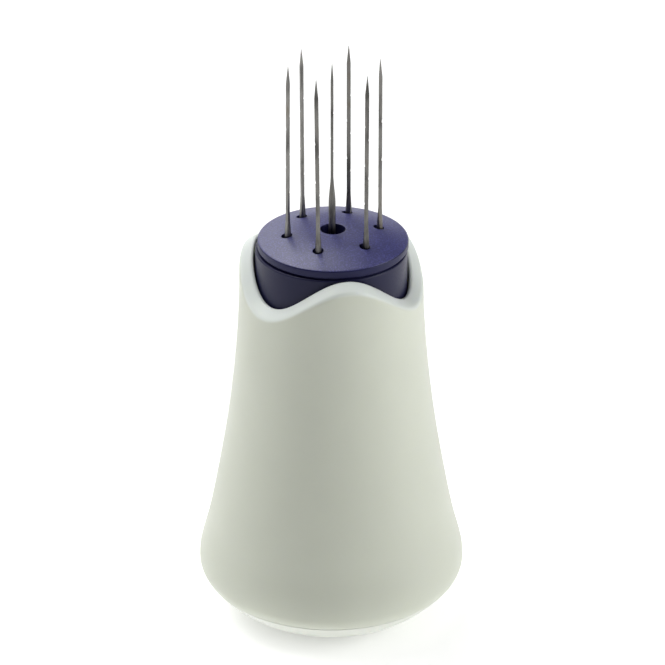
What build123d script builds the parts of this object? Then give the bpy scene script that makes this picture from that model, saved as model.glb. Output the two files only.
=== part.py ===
from build123d import *
import math
import os

# A felting tool for seven needles: a white bell-shaped handle that stands on its
# rounded base, and a navy cartridge that carries the needles, points up.
# Sizes are in millimetres. +Z runs up the axis, the origin is the centre of the flat
# foot, and one crest of the wavy rim faces the front, -Y. Azimuths are in degrees,
# counted from the front towards +X.

# Handle, outside
base_r = 24.0                 # widest ring of the bell
base_r_z = 9.0                # height of that ring above the foot
foot_r = 14.1                 # flat that the tool stands on
belly_shares = (0.584, 0.4286)    # a ring of the base cap's curve, between the foot and the joint
parting_inset = 0.65          # joint between the shell and the base cap, in from the widest ring
parting_z = 7.0
parting_chamfer = 0.2
rim_wall = 2.35               # shell round its bore, where the bell's side ends above the crests
rim_mid_z = 66.95              # mean height of the wavy rim
rim_wave = 3.55                # from that mean to a crest or a dip
rim_lobes = 3
rim_turn = -1.2                # degrees from the keys to the nearest crest, as the cartridge sits in the photo
rim_outer_round = 1.4
rim_inner_round = 0.4
flare_shares = ((0.092, 0.851), (0.231, 0.606), (0.4, 0.3625), (0.585, 0.1645), (0.769, 0.0445), (0.892, 0.014))

# Handle, inside
handle_wall = 2.2
fixed_gap = 0.1               # between pieces that are pushed together and stay put
slide_gap = 0.3               # between pieces that slide past each other
lip_wall = 2.15               # shell outside its straight lower mouth
lip_h = 6.0
plug_ring_wall = 1.6          # ring of the base cap that plugs the mouth
plug_ring_h = 5.0
bead_r = 0.35                 # its snap bead
sleeve_wall = 1.5
sleeve_top_z = 50.0
seat_z = 20.0                 # ledge that the cartridge stands on
seat_t = 2.0
seat_w = 1.6
floor_t = 1.5                 # the sleeve's floor, screwed to the base cap's posts
floor_rim = 1.0               # of the floor, between its middle hole and the posts
post_r = 1.9
post_count = 3
screw_r = 1.1
screw_end_gap = 2.8           # between a screw's end and the bowl's inside
screw_head_r = 1.8
screw_head_h = 1.5
screw_top_gap = 1.0           # between the screws' heads and the unscrewed clamp plug
screw_slot_w = 0.5
screw_slot_depth = 0.7

# Cartridge drum
drum_r = 13.2
drum_h = 50.5
drum_wall = 1.8
drum_edge_round = 0.3
mouth_step = 0.35             # the drum's threaded mouth is this much smaller than its bore
stop_h = 1.5                  # inner ledge that the needle carrier bears on
stop_w = 1.2
ring_r = 0.55                 # section of the friction ring
ring_rise = 38.0              # the ring above the drum's foot
ring_gap = 0.15               # between the friction ring and the handle's bore
ring_seat_gap = 0.05
ring_groove_h = 1.3
key_count = 3                 # tabs that turn the cartridge to the rim's lobes
key_w = 5.0
key_t = 1.2
key_h = 1.7

# Lid
lid_inset = 0.13              # the lid's side, in from the drum's
lid_side_h = 1.35
lid_dome_h = 1.75
lid_groove_h = 0.4            # shadow groove between the lid and the drum
lid_groove_depth = 0.4
lid_plate_t = 3.0
lid_spigot_h = 4.2
lid_spigot_wall = 1.3
lid_bead_r = 0.2
lid_edge_round = 0.25
lid_shoulder_shares = (0.62, 0.76)
needle_hole_r = 0.925
centre_hole_r = 2.175
rib_w = 2.0                   # rib in the drum that turns the lid to the needles
rib_t = 0.7
rib_h = 5.5

# Needles
needle_count = 6              # on the circle, besides the one in the middle
needle_inset = 1.69           # their circle, in from the inside of the lid's spigot
needle_length = 76.2          # from the crank's centreline to the point
shank_r = 0.915
shank_length = 19.3           # from the crank's centreline up
neck_wire_r = 0.61
crank_rise = 8.7              # the crank's centreline above the drum's foot
crank_end_r = 4.125           # the outer needles' cranks point inwards and end on this circle
crank_end_gap = 0.14          # the middle needle's crank ends this much short of it
crank_bend_r = 1.6
step_h = 2.0
outer_blade_r = 0.40          # round the blade's three edges
outer_blade_length = 26.2
outer_taper = 6.2
centre_blade_r = 0.26
centre_blade_length = 21.0
centre_taper = 4.8
taper_core_share = 0.75       # end of the round taper, of the blade's radius
point_length = 3.6
point_share = 0.06
barb_first = 9.4
barb_pitch = 2.35
barb_count = 7
barb_length = 0.6
barb_depth_share = 0.3

# Needle carrier and clamp
carrier_h = 9.3
needle_gap = 0.04
pad_side_gap = 0.55           # between the pad's side and the drum's mouth
pad_t = 2.0
pad_gap = 0.05                # between the pad and the cranks
plug_gap = 0.15               # between the plug's thread and the drum's
plug_h = 5.2
plug_travel = 6.0             # how far the plug unscrews
plug_top_t = 2.0
plug_wall = 1.8
grip_w = 2.6
grip_inset = 1.0
stud_r = 1.5
stud_h = 1.2

overrun = 1.0                 # how far a cutter runs past what it cuts

# Sizes that follow
bore_r = drum_r + slide_gap
neck_r = bore_r + rim_wall
bell_top_z = rim_mid_z + 2 * rim_wave
sleeve_r = bore_r + sleeve_wall
pocket_r = sleeve_r + fixed_gap
parting_r = base_r - parting_inset
lip_r = parting_r - lip_wall
plug_ring_r = lip_r - fixed_gap
bead_z = parting_z + plug_ring_h - 4 * bead_r
seat_low_z = seat_z - seat_t
drum_top_z = seat_z + drum_h
drum_bore_r = drum_r - drum_wall
mouth_r = drum_bore_r - mouth_step
crank_z = seat_z + crank_rise
shank_top_z = crank_z + shank_length
tip_z = crank_z + needle_length
stop_z = crank_z + carrier_h
ring_z = seat_z + ring_rise
ring_circle_r = bore_r - ring_gap - ring_r
key_r = (mouth_r + drum_r) / 2
lid_r = drum_r - lid_inset
lid_low_z = drum_top_z + lid_groove_h
lid_edge_z = lid_low_z + lid_side_h
lid_top_z = lid_edge_z + lid_dome_h
spigot_r = drum_bore_r - slide_gap
spigot_low_z = drum_top_z - lid_spigot_h
spigot_bore_r = spigot_r - lid_spigot_wall
needle_circle_r = spigot_bore_r - needle_inset
pad_r = mouth_r - pad_side_gap
pad_z = crank_z - shank_r - pad_gap - pad_t
carrier_r = mouth_r - fixed_gap / 2
plug_r = mouth_r - plug_gap
plug_low_z = pad_z - plug_h
floor_z = plug_low_z - plug_travel - screw_top_gap - screw_head_h
floor_low_z = floor_z - floor_t
post_circle_r = bore_r - seat_w - slide_gap - screw_head_r
floor_hole_r = post_circle_r - post_r - floor_rim
screw_low_z = handle_wall + screw_end_gap
screw_hole_r = screw_r + fixed_gap


def section(*corners):
    """Straight edges round (r, z) corners of a section, closed."""
    pts = [Vector(r, 0, z) for r, z in corners]
    return [Edge.make_line(a, b) for a, b in zip(pts, pts[1:] + pts[:1])]


def turned(edges):
    """A section turned about the axis."""
    return Part() + revolve(Face(Wire(edges)), axis=Axis.Z)


def tube(r_out, r_in, low, high):
    return turned(section((r_in, low), (r_out, low), (r_out, high), (r_in, high)))


def hoop(circle_r, round_r, height):
    """A ring of round section."""
    return Pos(0, 0, height) * Torus(circle_r, round_r)


def at(radius, azimuth, height=0.0):
    turn = math.radians(azimuth)
    return Vector(radius * math.sin(turn), -radius * math.cos(turn), height)


def rod(radius, low, high, centre=Vector(0, 0, 0)):
    return extrude(Plane((centre.X, centre.Y, low)) * Circle(radius), amount=high - low)


def block(across, r_in, r_out, low, high, azimuth):
    """A block between two radii that faces outwards at an azimuth."""
    middle = at((r_in + r_out) / 2, azimuth, (low + high) / 2)
    return Pos(*middle) * Rot(Z=azimuth) * Box(across, r_out - r_in, high - low)


def round_azimuths(count, first=0.0):
    return [first + 360 * k / count for k in range(count)]


def edges_at(part, radius, low, high):
    """Whole rings of a radius whose height is between two heights."""
    rings = []
    for edge in part.edges():
        box = edge.bounding_box()
        inside = low <= box.min.Z and box.max.Z <= high
        if inside and abs(box.max.X - radius) < fixed_gap and abs(box.min.X + radius) < fixed_gap:
            rings.append(edge)
    return rings


def bell(inset=0.0):
    """The bell's form, moved in by a wall, from its widest ring up."""
    rise = bell_top_z - base_r_z
    flare = base_r - neck_r
    pts = [Vector(base_r - inset, 0, base_r_z)]
    for height, radius in flare_shares:
        pts.append(Vector(neck_r + radius * flare - inset, 0, base_r_z + height * rise))
    pts.append(Vector(neck_r - inset, 0, bell_top_z))
    side = Edge.make_spline(pts, tangents=[Vector(0, 0, 1), pts[-1] - pts[-2]])
    foot = Vector(0, 0, base_r_z)
    top = Vector(0, 0, bell_top_z)
    return turned([side, Edge.make_line(pts[-1], top), Edge.make_line(top, foot), Edge.make_line(foot, pts[0])])


def bell_lip():
    """The short stretch that curls in from the widest ring to the parting line."""
    wide = Vector(base_r, 0, base_r_z)
    low = Vector(parting_r, 0, parting_z)
    curl = Edge.make_tangent_arc(wide, Vector(0, 0, -1), low)
    rest = section((parting_r, parting_z), (0, parting_z), (0, base_r_z), (base_r, base_r_z))
    return turned([curl] + rest[:3])


def wave_edge(radius):
    """The rim's wave at one radius, as many whole waves as there are lobes."""
    steps = 8 * rim_lobes
    pts = []
    for step in range(steps):
        azimuth = 360 * (step + 0.5) / steps
        height = rim_mid_z + rim_wave * math.cos(rim_lobes * math.radians(azimuth))
        pts.append(at(radius, azimuth, height))
    return Edge.make_spline(pts, periodic=True)


def above_rim():
    wave = Face.make_surface_from_curves(wave_edge(bore_r - overrun), wave_edge(base_r))
    return extrude(wave, amount=4 * rim_wave, dir=(0, 0, 1))


def radius_of(edge):
    """The greatest distance of an edge from the axis, at its ends and middle."""
    return max(math.hypot(p.X, p.Y) for p in (edge.position_at(share) for share in (0, 0.5, 1)))


def handle_shell():
    """Bell with the wavy mouth, a straight bore for the drum and a pocket for the sleeve."""
    mouth_z = parting_z + lip_h
    hollow = bell(handle_wall) & rod(base_r, mouth_z, sleeve_top_z)
    hollow += rod(lip_r, parting_z, mouth_z)
    hollow += rod(pocket_r, parting_z, sleeve_top_z)
    hollow += rod(bore_r, parting_z, bell_top_z)
    shell = bell() + bell_lip() - hollow - above_rim()
    rim = [edge for edge in shell.edges() if edge.bounding_box().min.Z > sleeve_top_z + overrun]
    wall_middle_r = (bore_r + neck_r) / 2
    shell = fillet([edge for edge in rim if radius_of(edge) > wall_middle_r], rim_outer_round)
    rim = [edge for edge in shell.edges() if edge.bounding_box().min.Z > sleeve_top_z + overrun]
    shell = fillet([edge for edge in rim if radius_of(edge) < bore_r + fixed_gap / 2], rim_inner_round)
    return Rot(0, 0, rim_turn) * (shell - hoop(plug_ring_r, bead_r + fixed_gap, bead_z))


def dome(inset=0.0):
    """The base cap's bowl, up to the parting line, or its hollow when moved in by the wall."""
    across = parting_r - foot_r
    slant = math.hypot(across, parting_z)
    shift_r = inset * parting_z / slant
    shift_z = inset * across / slant
    foot = Vector(foot_r - shift_r, 0, inset)
    belly_out, belly_up = belly_shares
    belly = Vector(foot_r + belly_out * across - shift_r, 0, belly_up * parting_z + shift_z)
    if inset:
        top = Vector(plug_ring_r - plug_ring_wall, 0, parting_z - inset / 2)
    else:
        top = Vector(parting_r, 0, parting_z)
    side = Edge.make_three_point_arc(foot, belly, top)
    rest = section((top.X, top.Z), (0, top.Z), (0, foot.Z), (foot.X, foot.Z))
    return turned([side] + rest[:3])


def base_cap():
    """Bowl with the flat foot, the ring that plugs the shell and the posts under the sleeve."""
    ring_top_z = parting_z + plug_ring_h
    bowl = dome()
    bowl = chamfer(edges_at(bowl, parting_r, parting_z - overrun, parting_z + overrun), parting_chamfer)
    cap = bowl + rod(plug_ring_r, parting_z - handle_wall / 2, ring_top_z)
    cap += hoop(plug_ring_r, bead_r, bead_z)
    cap -= dome(handle_wall)
    cap -= rod(plug_ring_r - plug_ring_wall, parting_z - handle_wall / 2, ring_top_z + overrun)
    inside = dome() + rod(plug_ring_r, parting_z, floor_low_z)
    for azimuth in post_azimuths():
        centre = at(post_circle_r, azimuth)
        cap += rod(post_r, 0, floor_low_z, centre) & inside
        cap -= rod(screw_hole_r, screw_low_z - overrun, floor_z, centre)
    return cap


def post_azimuths():
    return round_azimuths(post_count, 180 / key_count)


def socket_sleeve():
    """Tube that carries the bore on down, past the ledge, to a floor on the posts."""
    sleeve = tube(sleeve_r, bore_r, floor_low_z, sleeve_top_z)
    sleeve += tube(sleeve_r, bore_r - seat_w, seat_low_z, seat_z)
    sleeve += tube(sleeve_r, floor_hole_r, floor_low_z, floor_z)
    for azimuth in round_azimuths(key_count):
        slot_w = key_w + 2 * slide_gap
        slot_r = key_r + key_t / 2 + slide_gap
        sleeve -= block(slot_w, bore_r - seat_w - overrun, slot_r, seat_low_z, seat_z, azimuth)
    for azimuth in post_azimuths():
        sleeve -= rod(screw_hole_r, floor_low_z, floor_z, at(post_circle_r, azimuth))
    return sleeve


def sleeve_screws():
    """Pan-head screws through the sleeve's floor, one in each post."""
    screws = []
    for azimuth in post_azimuths():
        centre = at(post_circle_r, azimuth)
        head = rod(screw_head_r, floor_z, floor_z + screw_head_h, centre)
        head = fillet(head.edges().group_by(Axis.Z)[-1], screw_head_h / 3)
        slot_low_z = floor_z + screw_head_h - screw_slot_depth
        for turn in (0, 90):
            cross = Box(2 * screw_head_r - screw_slot_w, screw_slot_w, 2 * screw_slot_depth)
            head -= Pos(centre.X, centre.Y, slot_low_z + screw_slot_depth) * Rot(Z=azimuth + turn) * cross
        shank = rod(screw_r, screw_low_z, floor_z, centre)
        shank = chamfer(shank.edges().group_by(Axis.Z)[0], screw_r / 2)
        screws.append(head + shank)
    return Compound(children=screws)


def cartridge_drum():
    """Tube with an inner ledge, a groove for the friction ring, tabs below and a rib inside."""
    stop_r = drum_bore_r - stop_w
    drum = turned(section(
        (mouth_r, seat_z), (drum_r, seat_z), (drum_r, drum_top_z), (drum_bore_r, drum_top_z),
        (drum_bore_r, stop_z + stop_h), (stop_r, stop_z + stop_h), (stop_r, stop_z), (mouth_r, stop_z)))
    drum = fillet(edges_at(drum, drum_r, seat_z, drum_top_z), drum_edge_round)
    groove_r = ring_circle_r - ring_r - ring_seat_gap
    drum -= tube(drum_r + overrun, groove_r, ring_z - ring_groove_h / 2, ring_z + ring_groove_h / 2)
    for azimuth in round_azimuths(key_count):
        key = block(key_w, key_r - key_t / 2, key_r + key_t / 2, seat_z - key_h, seat_z + key_h, azimuth)
        drum += key & tube(drum_r, mouth_r, seat_z - key_h, seat_z + key_h)
    rib = block(rib_w, drum_bore_r - rib_t, drum_bore_r + rib_t, drum_top_z - rib_h, drum_top_z, 0)
    return drum + rib


def friction_ring():
    return hoop(ring_circle_r, ring_r, ring_z)


def cartridge_lid():
    """Domed disc with a hole for each needle and a spigot that snaps into the drum."""
    shoulder_r, shoulder_h = lid_shoulder_shares
    top = Vector(0, 0, lid_top_z)
    shoulder = Vector(shoulder_r * lid_r, 0, lid_edge_z + shoulder_h * lid_dome_h)
    edge = Vector(lid_r, 0, lid_edge_z)
    crown = Edge.make_spline([top, shoulder, edge], tangents=[Vector(1, 0, 0), edge - shoulder])
    plate_z = lid_top_z - lid_plate_t
    groove_r = lid_r - lid_groove_depth
    rest = section(
        (lid_r, lid_edge_z), (lid_r, lid_low_z), (groove_r, lid_low_z), (groove_r, drum_top_z),
        (spigot_r, drum_top_z), (spigot_r, spigot_low_z), (spigot_bore_r, spigot_low_z),
        (spigot_bore_r, plate_z), (0, plate_z), (0, lid_top_z))
    lid = turned([crown] + rest[:9])
    lid = fillet(edges_at(lid, lid_r, lid_low_z, lid_edge_z), lid_edge_round)
    lid += hoop(spigot_r, lid_bead_r, (drum_top_z + spigot_low_z) / 2)
    lid -= block(rib_w + 2 * slide_gap, spigot_bore_r - overrun, drum_bore_r, spigot_low_z, drum_top_z, 0)
    lid -= rod(centre_hole_r, plate_z, lid_top_z + overrun)
    for azimuth in needle_azimuths():
        lid -= rod(needle_hole_r, plate_z, lid_top_z + overrun, at(needle_circle_r, azimuth))
    return lid


def needle_azimuths():
    """Half way between the rim's crests and dips."""
    return round_azimuths(needle_count, 180 / needle_count)


def crank_wire(radius, top_z, crank):
    """The bent crank and the straight shank above it, with the crank towards +X."""
    end = Vector(crank, 0, crank_z)
    corner = Vector(0, 0, crank_z)
    path = FilletPolyline(end, corner, Vector(0, 0, top_z), radius=crank_bend_r)
    return sweep(Plane(end, z_dir=(-1, 0, 0)) * Circle(radius), path=path)


def cone(low_r, top_r, low, high):
    return Pos(0, 0, (low + high) / 2) * Cone(low_r, top_r, high - low)


def blade_section(radius, height):
    return Plane((0, 0, height)) * RegularPolygon(radius, 3)


def needle(blade_r, blade_length, taper, crank):
    """Steel needle: crank, shank, neck, taper, three-edged blade with barbs, and point."""
    blade_z = tip_z - blade_length
    taper_z = blade_z - taper
    point_z = tip_z - point_length
    pin = crank_wire(shank_r, shank_top_z, crank)
    pin += cone(shank_r, neck_wire_r, shank_top_z, shank_top_z + step_h)
    pin += rod(neck_wire_r, shank_top_z + step_h, taper_z)
    pin += cone(neck_wire_r, taper_core_share * blade_r, taper_z, blade_z)
    blade = extrude(blade_section(blade_r, (taper_z + blade_z) / 2), amount=point_z - (taper_z + blade_z) / 2)
    point = loft([blade_section(blade_r, point_z), blade_section(point_share * blade_r, tip_z)])
    pin += blade
    pin += point
    return pin - barbs(blade_r, blade_z)


def barbs(blade_r, blade_z):
    """Notches on the three edges in turn: a steep face towards the point and a long ramp."""
    depth = barb_depth_share * blade_r
    cuts = []
    for barb in range(barb_count):
        steep_z = tip_z - barb_first - barb * barb_pitch
        if steep_z < blade_z + barb_length:
            continue
        notch = Face(Wire(section(
            (blade_r - depth, steep_z), (blade_r + depth, steep_z), (blade_r + depth, steep_z + barb_length),
            (blade_r, steep_z + barb_length))))
        cuts.append(Rot(Z=360 / 3 * barb) * extrude(notch, amount=blade_r, both=True))
    return cuts


def placed(part, azimuth):
    """A needle's part moved to its place on the circle, its crank towards the axis."""
    place = at(needle_circle_r, azimuth)
    return Pos(place.X, place.Y, 0) * Rot(Z=azimuth + 90) * part


def needle_carrier():
    """Disc with a bore for each shank and a half-round groove under it for each crank."""
    carrier = rod(carrier_r, crank_z, stop_z)
    carrier -= Rot(Z=-90) * crank_wire(shank_r + needle_gap, stop_z + overrun, crank_end_r)
    cavity = crank_wire(shank_r + needle_gap, stop_z + overrun, needle_circle_r - crank_end_r + needle_gap)
    for azimuth in needle_azimuths():
        carrier -= placed(cavity, azimuth)
    return carrier


def clamp_pad():
    return tube(pad_r, stud_r + fixed_gap, pad_z, pad_z + pad_t)


def clamp_plug():
    """Threaded cup, open below, with a finger bar across it and a stud for the pad."""
    cup = rod(plug_r, plug_low_z, pad_z)
    cup = chamfer(cup.edges().group_by(Axis.Z)[0], plug_gap)
    cup -= rod(plug_r - plug_wall, plug_low_z - overrun, pad_z - plug_top_t)
    half = plug_r - plug_wall / 2
    bar = Box(2 * half, grip_w, plug_h - grip_inset - plug_top_t / 2)
    cup += Pos(0, 0, (plug_low_z + grip_inset + pad_z - plug_top_t / 2) / 2) * bar
    return cup + rod(stud_r, pad_z, pad_z + stud_h)


def all_parts():
    parts = {
        "handle_shell": handle_shell(),
        "base_cap": base_cap(),
        "socket_sleeve": socket_sleeve(),
        "sleeve_screws": sleeve_screws(),
        "cartridge_drum": cartridge_drum(),
        "friction_ring": friction_ring(),
        "needle_carrier": needle_carrier(),
        "clamp_pad": clamp_pad(),
        "clamp_plug": clamp_plug(),
        "cartridge_lid": cartridge_lid(),
        "centre_needle": Rot(Z=-90) * needle(
            centre_blade_r, centre_blade_length, centre_taper, crank_end_r - crank_end_gap),
    }
    outer = needle(outer_blade_r, outer_blade_length, outer_taper, needle_circle_r - crank_end_r)
    for number, azimuth in enumerate(needle_azimuths(), start=1):
        parts[f"outer_needle_{number}"] = placed(outer, azimuth)
    return parts


os.makedirs("parts", exist_ok=True)
for name, part in all_parts().items():
    export_step(part, f"parts/{name}.step")
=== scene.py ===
"""Visible pieces of a seven-needle felting tool, made round its CAD frame.

Lengths are in metres. +Z runs up the tool's axis from the middle of its foot. Azimuths run from the
front, -Y, towards +X, and one crest of the wavy rim all but faces it.
"""

import math

import bmesh
import bpy
import numpy as np
from bpy.props import FloatProperty, FloatVectorProperty, IntProperty, PointerProperty
from bpy.types import Operator, Panel, PropertyGroup
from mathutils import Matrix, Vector


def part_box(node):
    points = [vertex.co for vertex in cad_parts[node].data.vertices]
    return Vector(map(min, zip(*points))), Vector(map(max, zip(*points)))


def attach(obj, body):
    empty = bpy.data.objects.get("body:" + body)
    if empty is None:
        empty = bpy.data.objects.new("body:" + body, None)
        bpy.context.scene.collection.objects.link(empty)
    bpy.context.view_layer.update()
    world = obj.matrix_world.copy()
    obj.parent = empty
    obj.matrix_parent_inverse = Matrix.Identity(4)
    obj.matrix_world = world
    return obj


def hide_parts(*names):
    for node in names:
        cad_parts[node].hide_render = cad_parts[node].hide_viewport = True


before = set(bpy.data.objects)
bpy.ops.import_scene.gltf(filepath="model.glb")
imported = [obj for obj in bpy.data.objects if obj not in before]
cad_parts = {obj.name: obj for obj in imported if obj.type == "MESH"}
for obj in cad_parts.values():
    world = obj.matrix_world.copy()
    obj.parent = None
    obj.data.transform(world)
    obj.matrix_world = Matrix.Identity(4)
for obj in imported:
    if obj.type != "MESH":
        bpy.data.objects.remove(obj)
bpy.context.view_layer.update()

bl_info = {
    "name": "Seven-needle felting tool",
    "version": (1, 0, 0),
    "blender": (4, 5, 0),
    "location": "View3D > Sidebar > Felting tool",
    "description": "Builds the visible pieces of a felting tool round its CAD frame",
    "category": "Add Mesh",
}

MM = 0.001
TURN = 2 * math.pi
LOBES = 3                   # crests of the rim
OUTER_NEEDLES = 6
SECTOR = TURN / OUTER_NEEDLES
COLUMNS = 288               # steps round the handle
SIDE = 24                   # steps along each side of a lid sector
SHADED_SIDE_LIMIT = 0.6           # the lid's faces whose normal rises less than this are smooth and painted darker, as shade
MERGE = 2e-7                # points nearer than this are one point

SHELL_LOW, SHELL_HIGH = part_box("handle_shell")
LID_LOW, LID_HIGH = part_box("cartridge_lid")
PLUG_LOW, PLUG_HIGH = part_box("clamp_plug")
NEEDLE_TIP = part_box("centre_needle")[1].z
SLEEVE_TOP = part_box("socket_sleeve")[1].z


def length(name, description, metres):
    return FloatProperty(name=name, description=description, default=metres, unit="LENGTH", precision=5)


def angle(name, description, degrees):
    return FloatProperty(name=name, description=description, default=math.radians(degrees), subtype="ANGLE")


def tint(name, description, linear):
    return FloatVectorProperty(
        name=name, description=description, subtype="COLOR", size=3, default=linear, min=0.0, max=1.0)


class HandleSizes(PropertyGroup):
    """Sizes of the white handle."""

    base_radius: length("Base radius", "Widest ring of the bell", SHELL_HIGH.x)
    widest_height: length("Widest height", "Height of the widest ring above the foot", 9.0 * MM)
    joint_inset: length("Joint inset", "Joint with the base cap, in from the widest ring", 0.65 * MM)
    neck_radius: length(
        "Neck radius", "Radius that the bell's side ends on, above the crests", 15.85 * MM)
    bore_radius: length("Bore radius", "Bore that the cartridge slides in", 13.5 * MM)
    pocket_radius: length("Pocket radius", "Wider bore that the inner sleeve stands in", 15.1 * MM)
    lip_radius: length("Lip radius", "Lower mouth that the base cap plugs", 21.2 * MM)
    lip_height: length("Lip height", "Height of the straight lower mouth", 6.0 * MM)
    wall: length("Wall", "Wall of the bell", 2.2 * MM)
    rim_height: length("Rim height", "Mean height of the wavy rim", 66.95 * MM)
    rim_wave: length("Rim wave", "Height of a crest above the mean", 3.55 * MM)
    rim_turn: angle("Rim turn", "Azimuth of the crest next to the front", -1.2)
    rim_drop: length("Rim drop", "How far down the rim's bevel and its lower rounding reach", 2.0 * MM)
    bevel_foot: FloatProperty(
        name="Bevel foot", description="Height of the bevel's lower corner, of that drop",
        default=0.38, min=0.1, max=0.9)
    # Depth of the rim's painted glow: light through the thin rim, painted in as a lighter colour
    rim_painted_glow: length("Thin edge", "How far down the rim more light passes through", 1.9 * MM)
    rim_inner_round: length("Inner rounding", "Rounding of the rim's inner edge", 0.3 * MM)


class LidSizes(PropertyGroup):
    """Sizes of the navy lid."""

    radius: length("Radius", "Radius of the lid's side", LID_HIGH.x)
    top: length("Top", "Height of the dome's middle", 74.0 * MM)
    dome: length("Dome", "Rise of the dome above the lid's edge", 1.75 * MM)
    side: length("Side", "Height of the lid's side", 1.35 * MM)
    groove: length("Groove", "Height and depth of the shadow groove under the lid", 0.4 * MM)
    plate: length("Plate", "Thickness of the top at its middle", 3.0 * MM)
    spigot_radius: length("Spigot radius", "Ring that snaps into the drum", 11.1 * MM)
    spigot_wall: length("Spigot wall", "Wall of that ring", 1.3 * MM)
    notch: length("Notch", "Gap in that ring for the drum's rib", 2.6 * MM)
    hole_radius: length("Hole radius", "Hole for an outer needle", 0.925 * MM)
    middle_hole_radius: length("Middle hole radius", "Hole for the middle needle", 2.175 * MM)
    hole_round: length("Hole rounding", "Rounding of the holes' upper edges", 0.1 * MM)
    edge_round: length("Edge rounding", "Rounding of the lid's upper edge", 0.4 * MM)


class NeedleSizes(PropertyGroup):
    """Sizes that the seven needles share."""

    circle_radius: length("Circle radius", "Circle that the outer needles stand on", 8.11 * MM)
    tip: length("Tip height", "Height of the points", NEEDLE_TIP)
    crank_height: length("Crank height", "Height of the bent crank's centreline", 28.7 * MM)
    crank_run: length("Crank run", "From the shank's axis to the crank's end", 3.985 * MM)
    bend_radius: length("Bend radius", "Radius of the crank's bend", 1.6 * MM)
    shank_radius: length("Shank radius", "Radius of the thick shank", 0.915 * MM)
    shank_top: length("Shank top", "Height that the thick shank ends at", 48.0 * MM)
    neck_radius: length("Neck radius", "Radius between the shank and the blade", 0.61 * MM)
    flat_share: FloatProperty(
        name="Flat share", description="Distance of a blade's flats from its axis, of its radius",
        default=0.56, min=0.5, max=1.0)
    point: length("Point", "Length of the sharpened point", 3.3 * MM)
    barb_first: length("First barb", "From the point to the first barb", 9.4 * MM)
    barb_pitch: length("Barb pitch", "From one barb to the next, round the three edges", 2.35 * MM)
    barb_length: length("Barb length", "Length of a barb's ramp", 0.7 * MM)
    barb_depth_share: FloatProperty(
        name="Barb depth", description="Depth of a barb's notch, of the blade's radius",
        default=0.34, min=0.0, max=0.6)
    barb_count: IntProperty(
        name="Barbs", description="Barbs on each blade that has room", default=7, min=0, max=12)
    play: length("Play", "How far the lid and the needles rest to one side", 0.28 * MM)
    play_azimuth: angle("Play azimuth", "The side that they rest to", 78.0)


class PlugSizes(PropertyGroup):
    """Sizes of the threaded clamp plug."""

    lead: length("Lead", "Travel of the plug in one turn", 6.0 * MM)
    starts: IntProperty(
        name="Starts", description="Threads that run side by side", default=2, min=1, max=4)
    thread_depth: length("Thread depth", "Depth of the thread", 0.55 * MM)
    wall: length("Wall", "Wall of the cup", 1.8 * MM)
    top: length("Top", "Thickness of the plug's top", 2.0 * MM)
    bar_width: length("Bar width", "Width of the finger bar", 2.6 * MM)
    bar_inset: length("Bar inset", "Finger bar, in from the plug's lower edge", 1.0 * MM)
    stud_radius: length("Stud radius", "Stud that centres the rubber pad", 1.5 * MM)
    stud_height: length("Stud height", "Height of that stud", 1.2 * MM)


class Looks(PropertyGroup):
    """Colours of the finishes, linear."""

    white: tint("White plastic", "Colour of the handle", (0.685, 0.715, 0.612))
    # The base cap is its own, slightly lighter moulding; the rest of its paleness is painted light, standing
    # in for the bright floor light on its underside
    pale: tint("Pale plastic", "Colour of the base cap", (0.78, 0.805, 0.735))
    # Painted light: the rim's lighter, cooler colour is a painted glow of the light that passes through the
    # thin rim and falls on its top
    rim: tint(
        "Rim", "Colour of the handle's thin rim, which more light passes through", (0.82, 0.875, 0.83))
    lid_navy: tint("Lid navy", "Colour of the lid's grained top", (0.038, 0.039, 0.146))
    drum_navy: tint("Drum navy", "Colour of the smooth drum and the parts inside", (0.009, 0.0095, 0.045))
    steel: tint("Needle steel", "Colour of the needles", (0.18, 0.176, 0.165))
    rubber: tint("Rubber", "Colour of the friction ring and the pad", (0.012, 0.012, 0.013))


class StageSettings(PropertyGroup):
    """Camera and light."""

    focal_length: FloatProperty(
        name="Focal length", description="Camera's focal length, in millimetres",
        default=154.16, min=10.0, max=400.0)
    distance: length("Distance", "From the camera to the tool's axis", 0.5)
    azimuth: angle("Azimuth", "Camera's azimuth", -12.0)
    elevation: angle("Elevation", "Camera's elevation", 27.547)
    aim_height: length("Aim height", "Height of the point that the camera looks at", 53.85 * MM)
    shift: FloatProperty(
        name="Shift", description="Camera's sideways shift, of the picture's width",
        default=0.0018, min=-0.1, max=0.1, precision=4)
    room_light: FloatProperty(
        name="Room light", description="Strength of the even light from all round",
        default=0.01, min=0.0, max=4.0)
    floor_glow: FloatProperty(
        name="Floor glow", description="Light that the floor gives off, as a light table does",
        default=1.0, min=0.0, max=4.0)


# Shapes


def smooth(share):
    """Smooth step of a share s: s s (3 - 2 s)."""
    return share * share * (3 - 2 * share)


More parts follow.
